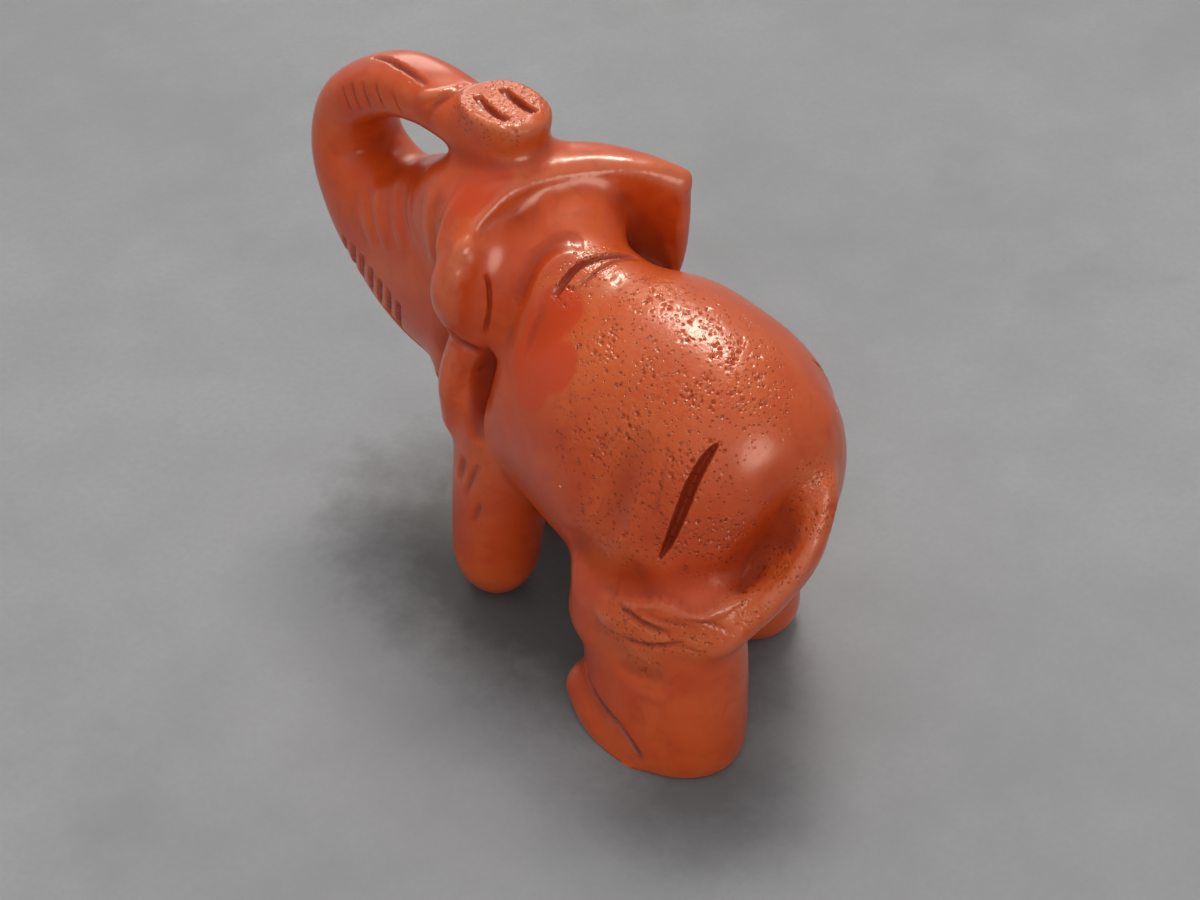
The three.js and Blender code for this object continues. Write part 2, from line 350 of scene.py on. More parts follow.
def relaxed(points, faces, rounds, hollow=1.0, proud=1.0, rate=0.5):
    """Polishing: each point moves towards its neighbours' mean, by hollow times as much where that lies outside
    the surface, so creases fill, and by proud times as much where it lies inside, so edges wear."""
    edges = edges_of(faces)
    for _ in range(rounds):
        move = pull(points, edges)
        n = normals_of(points, faces)
        along = (move * n).sum(1)
        slide = move - along[:, None] * n
        weight = np.where(along > 0, hollow, proud)
        points = points + rate * (slide + (weight * along)[:, None] * n)
    return points


def broken_up(points, faces, near):
    """The shape with the faces whose middles near() picks cut in four through the middles of their sides, so that a
    fine line has points enough to lie on."""
    picked = np.nonzero(near(points[faces].mean(1)))[0].tolist()
    mesh = mesh_from("working", points, faces)
    work = bmesh.new()
    work.from_mesh(mesh)
    work.faces.ensure_lookup_table()
    edges = {e for i in picked for e in work.faces[i].edges}
    bmesh.ops.subdivide_edges(work, edges=list(edges), cuts=1, use_grid_fill=True)
    work.to_mesh(mesh)
    work.free()
    mesh.update()
    return arrays_of(mesh)


def nearest_on(points, path, samples=60):
    """For each point its offset from the nearest place on a smooth path, and that place's share of the length:
    the least of |p - c(t)| over evenly spaced t."""
    t = np.linspace(0, 1, samples)
    line = path_points(path, t)
    square = (points**2).sum(1)[:, None] - 2 * points @ line.T + (line**2).sum(1)
    index = square.argmin(1)
    return points - line[index], t[index]


def line_cut(points, normals, path, width, depth, steep=2.0, ends=0.5, soft=1.0, thins=0.0):
    """How deep a ground line goes at each point: depth * (1 - r^steep)^soft * (4u(1-u))^ends, u the share of its
    length and r the distance from its path along the surface over width/2 * (4u(1-u))^thins."""
    low, high = np.min(path, 0) - width - 1.2, np.max(path, 0) + width + 1.2
    near = np.nonzero(((points > low) & (points < high)).all(1))[0]
    cut = np.zeros(len(points))
    if not len(near):
        return cut
    offset, u = nearest_on(points[near], path)
    rise = (offset * normals[near]).sum(1)
    aside = np.linalg.norm(offset - rise[:, None] * normals[near], axis=1) / (width / 2)
    middle = np.clip(4 * u * (1 - u), 0.02, 1)
    aside /= middle**thins
    taper = np.where(middle > 0.021, middle**ends, 0)
    depth_here = depth * np.clip(1 - aside**steep, 0, 1) ** soft * taper
    cut[near] = np.where(np.abs(rise) < 1.0 + width / 2, depth_here, 0)
    return cut


def rubbed(points, faces, path, reach, rounds):
    """Rubbing near a path: in each round each point goes (1 - (d/reach)^2) / 2 of the way to its neighbours' mean,
    d its distance from the path."""
    box = ((points > np.min(path, 0) - reach) & (points < np.max(path, 0) + reach)).all(1)
    some = np.nonzero(box)[0]
    place = np.full(len(points), -1)
    place[some] = np.arange(len(some))
    edges = place[edges_of(faces)]
    inner = edges[(edges >= 0).all(1)]
    share = np.clip(1 - (np.linalg.norm(nearest_on(points[some], path)[0], axis=1) / reach) ** 2, 0, 1)[:, None]
    worn = points[some]
    for _ in range(rounds):
        worn = worn + 0.5 * share * pull(worn, inner)
    points = points.copy()
    points[some] = worn
    return points


def ground_flat(points, centre, reach):
    """A level facet: within reach of the centre nothing stands higher than it, z = min(z, centre z)."""
    near = np.linalg.norm(points - centre, axis=1) < reach
    points = points.copy()
    points[near, 2] = np.minimum(points[near, 2], centre[2])
    return points


def wide(path, width, depth, ends=0.3):
    """A broad soft hollow for line_cut: depth * (1 - r^2)^2 * (4u(1-u))^ends."""
    return dict(path=path, width=width, depth=depth, steep=2.0, ends=ends, soft=2.0)


# Broad hollows, ground before the last polish: a path, the width across and the depth
HOLLOWS = [
    # between the haunch and the tail, and on under the haunch to the knee
    wide([[1.1, 16.5, 24.5], [2, 17.1, 22.9], [3, 17.1, 20.9], [4.4, 16.5, 18.9], [6.4, 15.4, 18], [8.3, 13.9, 17.8],
          [9.8, 11.6, 16.9], [11, 8.7, 15.6], [11.2, 6, 14.8], [11, 4, 14]], 6, 1.5, 0.6),
    # under the hanging edge, where the shin begins
    wide([[11.4, 9.8, 9.6], [11, 11.3, 9.2], [10.6, 12.7, 9.1], [9.9, 14, 9.6]], 3, 0.7),
    # backs of the ears
    wide([[-5.6, -4.4, 31.4], [-6.6, -4, 29.4], [-6.8, -3.8, 27], [-6.6, -4, 24]], 4.6, 0.8),
    wide([[7, -6.6, 25.2], [7.4, -7.2, 22.4], [8.2, -7.2, 19.4]], 3, 0.8),
    # between the crest and the shoulders
    wide([[4.6, -7.4, 33], [5.6, -6.6, 31], [6.4, -6.3, 28.5], [6.9, -6.5, 26], [7.3, -7, 22.5]], 3.4, 0.4),
]

# Places rubbed smooth by hand: a path, how far from it the rubbing reaches, and the rounds
RUBBED = [
    ([[-2, 12.5, 30.4], [1, 12.6, 30.6], [3.6, 12.4, 29.6], [6, 11.6, 27.6], [7.6, 11, 25]], 6, 160),
    ([[1.4, 15.8, 28], [3.8, 15.5, 26.8], [5.6, 15.4, 24.6], [6.9, 15.1, 22], [8, 13.6, 19.4]], 4.6, 110),
    ([[1.5, -7.4, 33.6], [3, -7.6, 33], [4.6, -7.6, 31.4]], 3, 40),
    ([[0, -6.4, 34], [-2, -6, 33.8], [-4, -5.2, 32.8], [-5.6, -4.6, 31.4]], 3.2, 60),
    ([[6.4, -4, 29], [7.2, -4.2, 26], [8, -4.4, 23], [8.6, -4.6, 20]], 3.2, 70),
]

# Lines cut with the edge of the wheel
LINES = {
    "flank": dict(path=[[5.5, 13.6, 27.6], [6.2, 13.3, 26.7], [7.2, 13, 25], [8.1, 12.8, 22.7], [8.8, 12.3, 19.9],
                        [9.2, 11.7, 18]], width=1.0, depth=0.9, ends=0.5, thins=0.6),
    "flank fold": dict(path=[[7.2, 9, 27.2], [8.2, 8.9, 25.6], [9.5, 8.5, 22.6], [10.2, 8, 19.7], [10.4, 6.9, 17.9]],
                       width=2.6, depth=0.14, steep=2.0, ends=0.6),
    "flank scratch": dict(path=[[8.1, 11.1, 24.9], [9, 11.3, 23.3], [9.6, 11.3, 21.4]], width=0.5, depth=0.12),
    "nape": dict(path=[[4.6, -3.2, 30.3], [4.1, -3.1, 30.9], [3.4, -3.1, 31.4], [2.3, -3, 32], [0.9, -2.5, 32.4],
                       [-1, -1.9, 32], [-2.5, -1.4, 31.2]], width=0.75, depth=0.5, steep=2.5, ends=0.6),
    "nape lower": dict(path=[[3.9, -2.1, 31], [2.8, -1.8, 31.7], [1.3, -1.6, 32.1], [-0.7, -1.5, 31.8],
                             [-2.2, -1.2, 31.2]], width=0.45, depth=0.2, ends=0.6),
    "behind the shoulder": dict(path=[[0.6, -3.9, 33.2], [1.9, -4.9, 33.3], [3.1, -5.4, 32.8], [4.1, -5.6, 32],
                                      [5.1, -5.5, 30.7], [6, -5.5, 28.9]], width=2, depth=0.22, soft=1.5),
    "ear": dict(path=[[6.7, -7.5, 31], [6.8, -7.3, 29.8], [7.1, -7.2, 28], [7.3, -7.6, 26]], width=0.42, depth=0.3),
    "ear recess": dict(path=[[6.9, -7, 24.8], [7.1, -7.6, 22.6], [7.4, -7.9, 20.6], [8.4, -7.6, 18.8], [8.7, -7, 17.4]],
                       width=2.4, depth=0.5, soft=1.7, ends=0.5),
    "ear fold": dict(path=[[8.9, -9.9, 26.4], [8.2, -9.5, 25.2], [7.5, -8.9, 24.5], [6.9, -8.2, 24.2]], width=1.1,
                     depth=0.4, soft=1.3),
    "left nostril": dict(path=[[0.25, -15.2, 39.6], [0.6, -14.2, 39.6], [0.8, -13.2, 39.6], [0.95, -12.3, 39.6],
                               [0.85, -11.3, 39.5]], width=0.75, depth=0.55, steep=3.0, ends=0.35),
    "right nostril": dict(path=[[-1.75, -14.7, 39.6], [-1.45, -13.7, 39.6], [-1.3, -12.6, 39.6], [-1.15, -11.7, 39.6],
                                [-1.2, -10.8, 39.4]], width=0.8, depth=0.6, steep=3.0, ends=0.35),
    "before the pad": dict(path=[[3.1, -18, 37.6], [2.4, -17.6, 38.6], [1, -17.2, 39.2], [-1, -16.8, 39.4]],
                           width=1.1, depth=0.16, soft=1.5, ends=0.5),
    "trunk top": dict(path=[[0.5, -26.4, 38], [0.7, -24.5, 38.8], [1, -22.7, 39.2], [1.2, -20.9, 39.3],
                            [1.5, -19.2, 39.2]], width=0.6, depth=0.4, ends=0.6),
    "toe": dict(path=[[9.6, 4.6, 5.3], [10.8, 6.7, 4.5], [11.6, 8.7, 4], [12.2, 11.1, 3.3], [11.9, 12.9, 1.7]],
                width=0.7, depth=0.3, ends=0.3),
    "tuft 1": dict(path=[[11.5, 9.7, 14.4], [11.3, 12.1, 13.9], [10.6, 14.3, 13.7]], width=0.7, depth=0.28),
    "tuft 2": dict(path=[[12.1, 10.9, 11.8], [11.5, 13.3, 12.3], [10.3, 15.4, 13.3]], width=0.7, depth=0.26),
    "tuft 3": dict(path=[[11.2, 12, 14.7], [10.6, 13.8, 14.6], [9.7, 15.3, 14.6]], width=0.45, depth=0.14),
    "tuft 4": dict(path=[[11.2, 14, 12.5], [10.5, 15.7, 12.8], [9.6, 16.8, 12.4]], width=0.45, depth=0.14),
    "tuft 5": dict(path=[[9.6, 15.2, 15.2], [8.6, 16.7, 14.7], [7.9, 17.9, 14.4]], width=0.45, depth=0.14),
    "tail root 1": dict(path=[[2.3, 18.7, 24.9], [1.1, 19.2, 25.1], [-1.2, 18.6, 24.3]], width=0.7, depth=0.22),
    "tail root 2": dict(path=[[2.5, 19.8, 22.9], [1.3, 19.9, 22.6], [-0.8, 19, 21.4]], width=0.6, depth=0.18),
    "foreleg 1": dict(path=[[8.7, -8.6, 14.9], [8.6, -9.1, 13.5], [8.5, -9.5, 12.1]], width=0.8, depth=0.22),
    "foreleg 2": dict(path=[[8.7, -7, 15.2], [8.7, -8, 13], [8.6, -8.8, 11]], width=0.7, depth=0.2),
    "foreleg 3": dict(path=[[8.5, -7.2, 11.2], [8.5, -7.6, 10], [8.5, -8.1, 8.7]], width=0.6, depth=0.16),
}

# Lines on the sides that the photo hides, plainer
for side, name in ((1, "left"), (-1, "right")):
    LINES[name + " mouth"] = dict(path=[[side * 4.6, -14.6, 16.9], [side * 4.5, -16.7, 17.3], [side * 4.5, -19.6, 18.3],
                                        [side * 4.1, -22, 19.8]], width=0.7, depth=0.4)
LINES["right flank"] = dict(path=[[-5.6, 12.2, 27.7], [-7.3, 12.3, 24.9], [-8.3, 11.7, 21.9], [-8.7, 10.7, 19]],
                            width=1.0, depth=0.6, thins=0.6)
LINES["right toe"] = dict(path=[[-9.2, 4, 4], [-9.6, 6, 3.2], [-9.6, 8, 2.3], [-8.9, 9.8, 1.4]], width=0.6, depth=0.3)

# Short lines across the trunk: creases on its bend and folds at its foot
for k, (y, z) in enumerate([(-21.3, 37.4), (-23.2, 37.3), (-24.6, 36.8), (-25.7, 36.2), (-26.6, 35.5)]):
    LINES[f"trunk crease {k + 1}"] = dict(
        path=[[2.5, y - 0.5, z + 0.6], [3, y, z - 0.2], [3.1, y + 0.5, z - 1]], width=0.5, depth=0.2
    )
for k, (x, y, z) in enumerate([(4.3, -26.5, 23.2), (4.6, -25.2, 23.2), (4.7, -24, 23), (4.9, -22.8, 22.5),
                               (5.1, -21.6, 22.1), (5.3, -20.4, 21.8), (5.4, -19.2, 21.4)]):
    LINES[f"trunk fold {k + 1}"] = dict(
        path=[[x, y, z + 0.6], [x - 0.6, y - 0.6, z - 1.4], [x - 2.4, y - 1.2, z - 3]], width=0.7, depth=0.42
    )

# Edges left standing between two cuts
EDGES = {
    "crest": dict(path=[[-7.3, -3.9, 34.5], [-4.7, -5.9, 35.3], [-2.3, -7.4, 35.6], [0.6, -8.6, 35.6], [3, -9.2, 35.3],
                        [5.4, -9.4, 34.4], [7, -9.4, 33.1], [8.1, -9.2, 32.1]], width=1.2, depth=0.16, soft=1.5),
    "ear rim": dict(path=[[6.6, -9.2, 33.3], [7.5, -9.3, 33], [8.2, -9.3, 32.2], [8.6, -9.1, 31.2], [8.7, -9, 30.3]],
                    width=1.3, depth=0.25, soft=1.5),
    "shoulder": dict(path=[[1.4, -4.2, 33], [2.9, -4.6, 32.5], [3.9, -4.7, 31.8], [4.6, -4.6, 30.9], [5.3, -4.5, 29.7],
                           [6.1, -4.5, 28.1], [7, -4.3, 26.6], [7.3, -4.4, 25]], width=2, depth=0.28, soft=1.5),
    "spine": dict(path=[[0.3, -8, 34.8], [1.4, -6.9, 34], [2.3, -5.7, 33.4]], width=1.3, depth=0.12, soft=1.5),
    "ledge": dict(path=[[11.2, 6.6, 13.1], [11.5, 8.4, 14], [11.1, 10.2, 14.3], [10.8, 12, 15.1], [10.3, 13.2, 15.6],
                        [9.9, 14.5, 15.5], [9.1, 15.7, 15.3], [8.3, 16.2, 15.5], [7.1, 16.6, 15.7],
                        [5.9, 16.9, 15.9], [4.6, 17.1, 16.5], [3.3, 17.3, 17.4]], width=0.8, depth=0.26, soft=1.3),
    "lobe": dict(path=[[8, -9.9, 24.2], [8.4, -10.4, 23], [8.8, -10.5, 21.3], [8.7, -10.9, 19.1]], width=1.1,
                 depth=0.2, soft=1.5),
    "trunk lip": dict(path=[[2.3, -19.2, 38.6], [2, -18.6, 38.9], [1.4, -17.8, 39.1], [0.2, -17.1, 39.4]], width=1.1,
                      depth=0.3, soft=1.4),
    "pad rim": dict(path=[[1.5, -15.2, 39.9], [2, -14, 39.8], [2.2, -12.8, 39.6], [1.7, -11.2, 39.3],
                          [0.6, -10.3, 39.2], [-0.8, -9.9, 39.3]], width=0.9, depth=0.14, soft=1.4),
}
for k, (high, low) in enumerate([([3.5, -25.6, 29], [4.6, -22.3, 25.4]), ([3, -24.2, 29.6], [5.1, -20.4, 26]),
                                 ([2.3, -22, 30.4], [5.4, -18.4, 27.2]), ([1.6, -20.6, 31.2], [5.7, -16.2, 28.6]),
                                 ([4.4, -15.4, 33.6], [6.1, -14.4, 28.2])]):
    EDGES[f"trunk pleat {k + 1}"] = dict(path=[high, [(a + b) / 2 for a, b in zip(high, low)], low], width=1.5,
                                         depth=0.16, soft=1.5)

# The form: masses fused, hollowed, polished and rubbed, and the trunk's end ground flat
points, faces = fused(*together([rounded_mass(**m) for m in MASSES.values()]))
points = relaxed(points, faces, 3)
normals = normals_of(points, faces)
points = points - normals * sum(line_cut(points, normals, **h) for h in HOLLOWS)[:, None]
points = relaxed(points, faces, 26, hollow=1.0, proud=0.05)
for path, reach, rounds in RUBBED:
    points = rubbed(points, faces, path, reach, rounds)
points = ground_flat(points, PAD, PAD_REACH)
points[:, 2] = np.maximum(points[:, 2], 0)


def beside_a_line(middles):
    """Which places lie within width/2 + 0.35 mm of a line's path."""
    near = np.zeros(len(middles), bool)
    for line in LINES.values():
        reach = line["width"] / 2 + 0.35
        box = ((middles > np.min(line["path"], 0) - reach) & (middles < np.max(line["path"], 0) + reach)).all(1)
        some = np.nonzero(box & ~near)[0]
        if len(some):
            near[some] = np.linalg.norm(nearest_on(middles[some], line["path"], 40)[0], axis=1) < reach
    return near


# Where the stone differs, in the carver's axes
PITTED = [[1.1, 3.3, 31.7], [0.8, 7.3, 31.1], [0.9, 10.3, 30.6], [5.2, 6.8, 29.8], [4.5, 10.9, 29.2], [7.6, 8.3, 26.8],
          [6.1, 3, 29.9], [7.3, 12.7, 25.7], [9.4, 10.1, 22.8], [9.4, 5.3, 25.2], [2, 13, 29.6], [9.8, 8, 19.6],
          [8.6, 13, 21], [6.4, 15.4, 21]]
GRANULAR = [[11.2, 10.5, 12.6], [10.6, 13, 12.8], [9.4, 15.4, 13.4], [10.9, 12, 10.6], [6, 17.3, 15.2],
            [3.4, 17.8, 17.8], [1, 18.3, 21.4], [0.2, 17.8, 23.4], [-0.2, -12.9, 39.6], [1.5, -14.4, 39.6],
            [1.5, -11.4, 39.4], [-2.6, -12, 39.5], [-2, -14.6, 39.6], [4, -2.4, 31], [1.4, -2.2, 32.1]]
MATT = [[1.1, 3.3, 31.7], [0.8, 7.3, 31.1], [5.2, 6.8, 29.8], [4.5, 10.9, 29.2], [6.9, 7.6, 28], [6.1, 3, 29.9],
        [2, 13, 29.6], [2.2, 0, 31.6], [-1.5, 10, 31]]
GLOSSY = [[6, -2.6, 28.6], [5, -2.2, 30], [7.8, 0.2, 28], [8.7, -1.3, 25.5], [7.6, -2.6, 26.6], [3.6, -10.8, 35.8],
          [4.6, -11.3, 35.2]]
DIRTY = [[10.8, 5.2, 14.4], [9.9, 3.6, 14.4], [7.6, -6.6, 17.6]]


def along(points, path, reach):
    """1 on a path and exp(-(d/reach)^2) at distance d from it."""
    return np.exp(-((np.linalg.norm(nearest_on(points, path)[0], axis=1) / reach) ** 2))


def close_to(points, places, reach):
    """1 at the places and exp(-(d/reach)^2) at distance d from the nearest of them."""
    places = np.asarray(places, float)
    square = (points**2).sum(1)[:, None] - 2 * points @ places.T + (places**2).sum(1)
    return np.exp(-np.clip(square.min(1), 0, None) / reach**2)


def pit_cuts(points, share, count, seed):
    """Depths of small round pits: 1.1 r (1 - (d/r)^2) within r of a centre, the centres drawn from the points
    by their share, and r = least + (greatest - least) w^4 with w even from 0 to 1, so that most are small."""
    draw = np.random.default_rng(seed)
    centres = points[draw.choice(len(points), count, replace=False, p=share / share.sum())]
    least, greatest = PIT_RADIUS
    radii = least + (greatest - least) * draw.random(count) ** 4
    order = np.argsort(points[:, 1])
    sorted_y = points[order, 1]
    cut = np.zeros(len(points))
    for centre, r in zip(centres, radii):
        some = order[np.searchsorted(sorted_y, centre[1] - r) : np.searchsorted(sorted_y, centre[1] + r)]
        square = ((points[some] - centre) ** 2).sum(1) / r**2
        cut[some] = np.maximum(cut[some], 1.1 * r * np.clip(1 - square, 0, 1))
    return cut


def to_be_worked(middles):
    """Where the faces are cut in four: beside the lines, and where the stone is pitted or granular."""
    return beside_a_line(middles) | (close_to(middles, PITTED, 2.4) > 0.5) | (close_to(middles, GRANULAR, 1.4) > 0.6)


def along_fine_lines(middles):
    """Where they are cut in four once more: on the most pitted stone and on the finest lines."""
    near = close_to(middles, PITTED, 2.4) > 0.66
    for line in map(LINES.get, ("left nostril", "right nostril", "flank", "nape", "nape lower", "ear", "toe")):
        near |= line_cut(middles, np.zeros_like(middles), line["path"], line["width"] + 0.4, 1.0) > 0
    return near


# The carving: raised edges, then lines and pits
for near in (to_be_worked, along_fine_lines):
    points, faces = broken_up(points, faces, near)
normals = normals_of(points, faces)
points = points + normals * sum(line_cut(points, normals, **edge) for edge in EDGES.values())[:, None]
lines = np.max([line_cut(points, normals, **line) for line in LINES.values()], 0)
pit_share = close_to(points, PITTED, 3) ** 1.5 + 0.5 * close_to(points, GRANULAR, 1.5) ** 2 + 0.001
points = points - normals * np.where(lines > 0.05, lines, pit_cuts(points, pit_share, PITS, PIT_SEED))[:, None]
points[:, 2] = np.maximum(points[:, 2], 0)


def hollowness(points, faces, rounds):
    """How hollow the surface is about each point: the share of the pull towards the neighbours' mean that lies
    along the outward normal, spread by rounds of averaging."""
    edges = edges_of(faces)
    value = (pull(points, edges) * normals_of(points, faces)).sum(1)[:, None]
    for _ in range(rounds):
        value = value + 0.5 * pull(value, edges)
    return value[:, 0]


def spread(points, faces):
    """Fine creases and broad hollows, each 0.5 on flat stone and up to 1 where hollow: 0.5 + hollowness / scale."""
    fine = hollowness(points, faces, 3)
    broad = hollowness(points, faces, 60)
    return np.clip(0.5 + fine / CREASE, 0, 1), np.clip(0.5 + broad / HOLLOW, 0, 1)


elephant_mesh = mesh_from("elephant_carving", (points - MIDDLE) * MM, faces)
elephant_mesh.shade_smooth()
creases, hollows = spread(points, faces)
for name, value in {
    "creases": creases,
    "hollows": hollows,
    "lined": np.clip(lines / 0.35, 0, 1),
    "matt": close_to(points, MATT, 4),
    "pitted": close_to(points, PITTED, 3.2),
    "granular": close_to(points, GRANULAR, 1.7),
    "glossy": close_to(points, GLOSSY, 2),
    "dirty": close_to(points, DIRTY, 1.3),
    "toe dirt": along(points, LINES["toe"]["path"][1:], 0.36),
}.items():
    layer = elephant_mesh.attributes.new(name, "FLOAT", "POINT")
    layer.data.foreach_set("value", value.astype(np.float32))
elephant = bpy.data.objects.new("elephant_carving", elephant_mesh)
bpy.context.collection.objects.link(elephant)


class Shading:
    """A material's nodes, each new one made with its settings and joined to the sockets named."""

    def __init__(self, name):
        self.material = bpy.data.materials.new(name)
        self.material.use_nodes = True
        self.tree = self.material.node_tree
        self.surface = self.tree.nodes["Principled BSDF"]

    def join(self, value, socket):
        """Another node's output linked to the socket, or a constant set on it."""
        if isinstance(value, bpy.types.NodeSocket):
            self.tree.links.new(value, socket)
        else:
            socket.default_value = value

    def add(self, kind, inputs=None, out=0, **settings):
        """A new node, given by one of its outputs."""
        made = self.tree.nodes.new("ShaderNode" + kind)
        for key, value in settings.items():
            setattr(made, key, value)
        for key, value in (inputs or {}).items():
            self.join(value, made.inputs[key])
        return made.outputs[out]

    def place(self):
        """Object coordinates: metres from the middle of the soles."""
        return self.add("TexCoord", out="Object")

    def noise(self, scale, detail=3.0, roughness=0.5, distortion=0.0, at=None):
        """Noise from 0 to 1 with about scale waves to the metre, and detail rounds of finer ones."""
        return self.add(
            "TexNoise",
            {"Vector": at or self.place(), "Scale": scale, "Detail": detail, "Roughness": roughness,
             "Distortion": distortion},
            out="Fac",
        )

    def level(self, value, low, high, to_low=0.0, to_high=1.0):
        """From to_low at low to to_high at high in a straight line, and level outside them."""
        return self.add(
            "MapRange", {"Value": value, "From Min": low, "From Max": high, "To Min": to_low, "To Max": to_high}
        )

    def math(self, operation, a, b):
        """One operation on two values."""
        return self.add("Math", {0: a, 1: b}, operation=operation)

    def sum_of(self, a, b):
        return self.math("ADD", a, b)

    def times(self, a, b):
        return self.math("MULTIPLY", a, b)

    def most(self, a, b):
        return self.math("MAXIMUM", a, b)

    def blend(self, share, first, second):
        """(1 - share) * first + share * second, for colours."""
        return self.add("Mix", {0: share, 6: first, 7: second}, out=2, data_type="RGBA")

    def own(self, name):
        """The mesh's own value of this name."""
        return self.add("Attribute", out="Fac", attribute_name=name)

    def cells(self, scale):
        """Cells, about scale to the metre: the distance from a cell's middle in cells, and the cell's number."""
        far = self.add("TexVoronoi", {"Vector": self.place(), "Scale": scale}, out="Distance")
        colour = self.add("TexVoronoi", {"Vector": self.place(), "Scale": scale}, out="Color")
        return far, self.add("SeparateColor", {"Color": colour})

    def spots(self, scale, size, core, kept):
        """Round spots in the cells whose number is above kept: 0 past size, and 1 within core."""
        far, number = self.cells(scale)
        return self.times(self.level(far, size, core), self.level(number, *kept))


# Polished red stone: orange where clear, pinkish where the polish is thin; painted shade darkens the creases, hollows,
# cut lines and pores, and a painted highlight lightens raised edges
stone = Shading("polished red agate")
clouds = stone.level(stone.noise(170, 3, 0.55, 0.6), 0.4, 0.62)
veins = stone.level(stone.noise(420, 3, 0.6, 1.2), 0.52, 0.72)
grains = stone.noise(2600, 3, 0.6)
pitted, granular = stone.own("pitted"), stone.own("granular")
rough_stone = stone.most(pitted, granular)
colour = stone.blend(clouds, (0.54, 0.056, 0.007, 1), (0.60, 0.083, 0.012, 1))
colour = stone.blend(stone.times(veins, 0.5), colour, (0.42, 0.038, 0.005, 1))
pale = stone.most(stone.own("matt"), granular)
colour = stone.blend(stone.times(pale, stone.level(grains, 0.3, 0.7, 0.2, 0.75)), colour, (0.60, 0.125, 0.026, 1))
glossy = stone.level(stone.sum_of(stone.own("glossy"), stone.times(clouds, 0.1)), 0.42, 0.56)
colour = stone.blend(glossy, colour, (0.57, 0.050, 0.003, 1))
rough_stone = stone.times(rough_stone, stone.math("SUBTRACT", 1.0, glossy))
# Painted shade: darker in the broad hollows and darker still in the creases
colour = stone.blend(stone.level(stone.own("hollows"), 0.55, 1, 0, 0.5), colour, (0.26, 0.020, 0.006, 1))
colour = stone.blend(stone.level(stone.own("creases"), 0.62, 1, 0, 0.75), colour, (0.22, 0.025, 0.010, 1))
# Painted highlight: paler on raised, rounded edges, where the creases value is low
colour = stone.blend(stone.level(stone.own("creases"), 0.3, 0.0, 0, 0.3), colour, (0.66, 0.22, 0.11, 1))
colour = stone.blend(stone.spots(520, 0.07, 0.04, (0.93, 0.95)), colour, (0.85, 0.62, 0.5, 1))  # white specks
# Painted shade in the cut lines: darker the deeper the line
colour = stone.blend(stone.times(stone.own("lined"), 0.7), colour, (0.20, 0.016, 0.006, 1))
grime = stone.times(stone.level(stone.own("dirty"), 0.25, 0.8), stone.level(stone.own("hollows"), 0.6, 1))
grime = stone.most(grime, stone.own("toe dirt"))
grime = stone.times(grime, stone.level(stone.noise(900), 0.25, 0.6, 0.25, 0.9))
colour = stone.blend(grime, colour, (0.05, 0.036, 0.034, 1))
polish = stone.level(stone.noise(240, 3), 0.3, 0.7, 0.28, 0.36)
polish = stone.sum_of(polish, stone.times(pale, stone.level(grains, 0.3, 0.7, 0.02, 0.09)))
stone.join(polish, stone.surface.inputs["Roughness"])

# Pores and grain finer than the surface grid
holes = stone.most(stone.spots(1500, 0.26, 0.117, (0.5, 0.55)), stone.spots(3100, 0.32, 0.144, (0.4, 0.45)))
holes = stone.times(holes, stone.level(rough_stone, 0.12, 0.5))
# Painted shade in the pores: their colour darkened where the bump alone gives no shadow
colour = stone.blend(stone.times(holes, 0.5), colour, (0.16, 0.018, 0.008, 1))
stone.join(colour, stone.surface.inputs["Base Color"])
grit = stone.times(stone.level(stone.noise(1900, 3, 0.7), 0.2, 0.8), stone.level(rough_stone, 0.1, 0.8))
crumbs = stone.times(stone.level(stone.noise(1300, 2, 0.7), 0.35, 0.7), stone.level(granular, 0.3, 0.9))
relief = stone.sum_of(stone.sum_of(stone.times(grit, 0.6), stone.times(holes, -1.3)), stone.times(crumbs, 1.6))
hand = stone.times(stone.noise(330, 2), 0.35)
scratches = stone.add("Mapping", {"Vector": stone.place(), "Rotation": (0.5, 0.3, 0.2), "Scale": (1, 14, 1)})
hand = stone.sum_of(hand, stone.times(stone.level(stone.noise(260, 3, 0.6, 0, scratches), 0.62, 0.8), 0.05))
ground = stone.add("Bump", {"Strength": 1.0, "Distance": 0.00005, "Height": relief})
bumped = stone.add("Bump", {"Strength": 0.6, "Distance": 0.0001, "Height": hand, "Normal": ground})
stone.join(bumped, stone.surface.inputs["Normal"])
stone.join(bumped, stone.surface.inputs["Coat Normal"])
stone.surface.inputs["IOR"].default_value = 1.54
shade = stone.level(stone.own("hollows"), 0.5, 0.85, 1, 0.1)  # less light to mirror in the hollows
stone.join(stone.times(shade, 0.24), stone.surface.inputs["Coat Weight"])
stone.join(stone.times(shade, 0.34), stone.surface.inputs["Specular IOR Level"])
stone.surface.inputs["Coat Roughness"].default_value = 0.16
stone.surface.inputs["Subsurface Weight"].default_value = 0.06
stone.surface.inputs["Subsurface Radius"].default_value = (1.0, 0.14, 0.04)
stone.surface.inputs["Subsurface Scale"].default_value = 0.0012
elephant_mesh.materials.append(stone.material)

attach(elephant, "root")
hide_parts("elephant")


# Floor, light and camera
def floor_grid(half, steps=40):
    """A flat square, P = (x, y, 0) for x and y from -half to half."""
    x, y = np.meshgrid(np.linspace(-half, half, steps), np.linspace(-half, half, steps), indexing="ij")
    p = np.stack([x, y, np.zeros_like(x)], -1).reshape(-1, 3)
    i, j = np.meshgrid(np.arange(steps - 1), np.arange(steps - 1), indexing="ij")
    corner = i * steps + j
    return p, np.stack([corner, corner + steps, corner + steps + 1, corner + 1], -1).reshape(-1, 4)


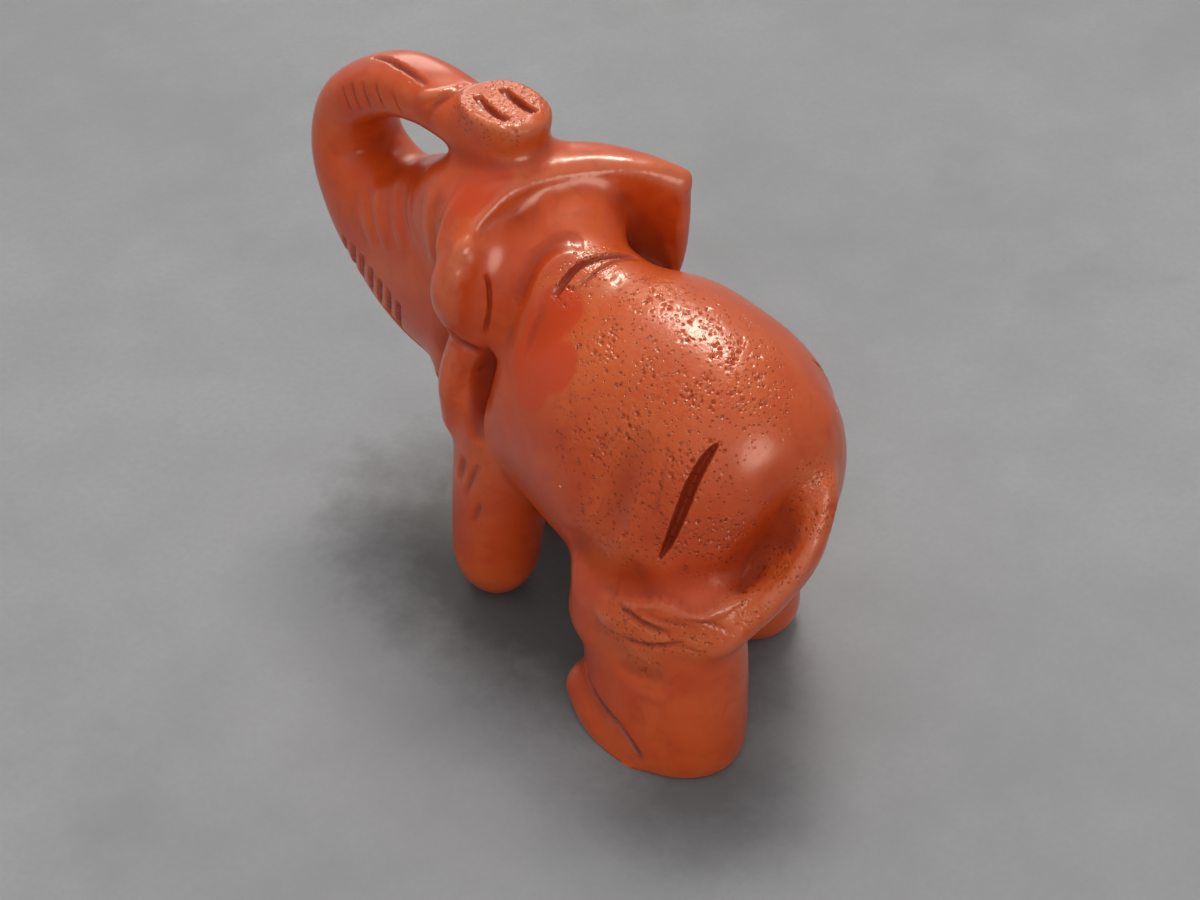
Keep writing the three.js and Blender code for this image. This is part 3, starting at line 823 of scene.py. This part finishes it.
floor = bpy.data.objects.new("floor", mesh_from("floor", *floor_grid(4.0)))
bpy.context.collection.objects.link(floor)
paper = Shading("pale grey table")
mottle = paper.sum_of(paper.times(paper.noise(14, 3, 0.6), 0.7), paper.times(paper.noise(120, 2, 0.6), 0.3))
paint = paper.blend(paper.level(mottle, 0.38, 0.62), (0.222, 0.230, 0.238, 1), (0.276, 0.284, 0.292, 1))
stains = paper.level(paper.noise(38, 4, 0.65, 0.4), 0.60, 0.78, 0, 0.5)
paint = paper.blend(stains, paint, (0.185, 0.187, 0.192, 1))
specks = paper.level(paper.noise(1600, 2), 0.3, 0.75)
paint = paper.blend(paper.times(specks, 0.25), paint, (0.2, 0.2, 0.204, 1))


def painted_shadow(place, scale, wave, ragged, clear, full, most):
    """A painted contact shadow, a dark patch on the table: most where r + ragged * noise is within full and 0 past
    clear, with r = |scale * P + place|."""
    oval = paper.add("Mapping", {"Vector": paper.place(), "Location": place, "Scale": scale})
    far = paper.add("VectorMath", {0: oval}, out="Value", operation="LENGTH")
    return paper.level(paper.sum_of(far, paper.times(paper.noise(wave, 3, 0.7), ragged)), clear, full, 0, most)


# Painted shadow: darker patches on the table under the body and round the left hind foot
for shadow_patch in (
    painted_shadow((-0.05, 0.02, 0), (78, 50, 1), 260, 0.5, 1.45, 0.85, 0.8),  # painted contact shadow under the body
    painted_shadow((-1.3, -3.3, 0), (140, 140, 1), 300, 0.6, 1.6, 0.6, 0.6),  # painted contact shadow round the left hind foot
):
    paint = paper.blend(shadow_patch, paint, (0.045, 0.045, 0.044, 1))
paper.join(paint, paper.surface.inputs["Base Color"])
paper.surface.inputs["Roughness"].default_value = 0.75
tooth = paper.add("Bump", {"Strength": 0.3, "Distance": 0.0002, "Height": paper.noise(1100, 3)})
paper.join(tooth, paper.surface.inputs["Normal"])
floor.data.materials.append(paper.material)


def soft_light(name, towards, distance, size, power, sheen_only=False):
    """A round lamp size metres wide that faces the figurine from distance * towards. A sheen-only lamp shows in the
    polish alone, and the others light stone and table alone, so that each can be set by the photo."""
    lamp = bpy.data.lights.new(name, "AREA")
    lamp.shape = "DISK"
    lamp.size = size
    lamp.energy = power
    if sheen_only:
        lamp.color = (1, 0.86, 0.72)
    obj = bpy.data.objects.new(name, lamp)
    aim = Vector((0, 0, 0.02))
    way = Vector(towards).normalized()
    obj.location = aim + way * distance
    obj.rotation_euler = way.to_track_quat("Z", "Y").to_euler()
    obj.visible_diffuse = not sheen_only
    obj.visible_glossy = sheen_only
    bpy.context.collection.objects.link(obj)


soft_light("overhead softbox", (-0.36, -0.3, 0.88), 0.9, 0.27, 2.3)
soft_light("window behind", (-0.3, -0.62, 0.72), 1.2, 0.9, 2.4)
soft_light("ceiling light", (0, 0, 1), 1.4, 1.9, 6.4)
soft_light("room fill", (0.75, 0.6, 0.45), 1.4, 1.3, 5.6)
soft_light("softbox sheen", (-0.42, -0.26, 0.87), 0.9, 0.26, 9.5, True)
soft_light("window sheen", (-0.55, -0.75, 0.34), 1.2, 0.5, 2.5, True)
soft_light("ceiling sheen", (0, 0, 1), 1.4, 1.9, 5.5, True)
soft_light("far window sheen", (0.12, 0.93, 0.28), 1.2, 0.6, 6.0, True)

world = bpy.data.worlds.new("soft room")
bpy.context.scene.world = world
world.use_nodes = True
world.node_tree.nodes["Background"].inputs["Color"].default_value = (0.97, 0.98, 1.0, 1)
world.node_tree.nodes["Background"].inputs["Strength"].default_value = 0.40
bpy.context.scene.view_settings.view_transform = "Standard"

camera = bpy.data.cameras.new("camera")
camera.sensor_width = 36
camera.lens = 74.52
camera.clip_start = 0.01
view = bpy.data.objects.new("camera", camera)
back = Vector((0.5417, 0.5417, 0.6428)).normalized()
view.location = (Vector((101.068, 97.945, 133.702)) - Vector(MIDDLE)) * MM
view.rotation_euler = back.to_track_quat("Z", "Y").to_euler()
bpy.context.collection.objects.link(view)
bpy.context.scene.camera = view
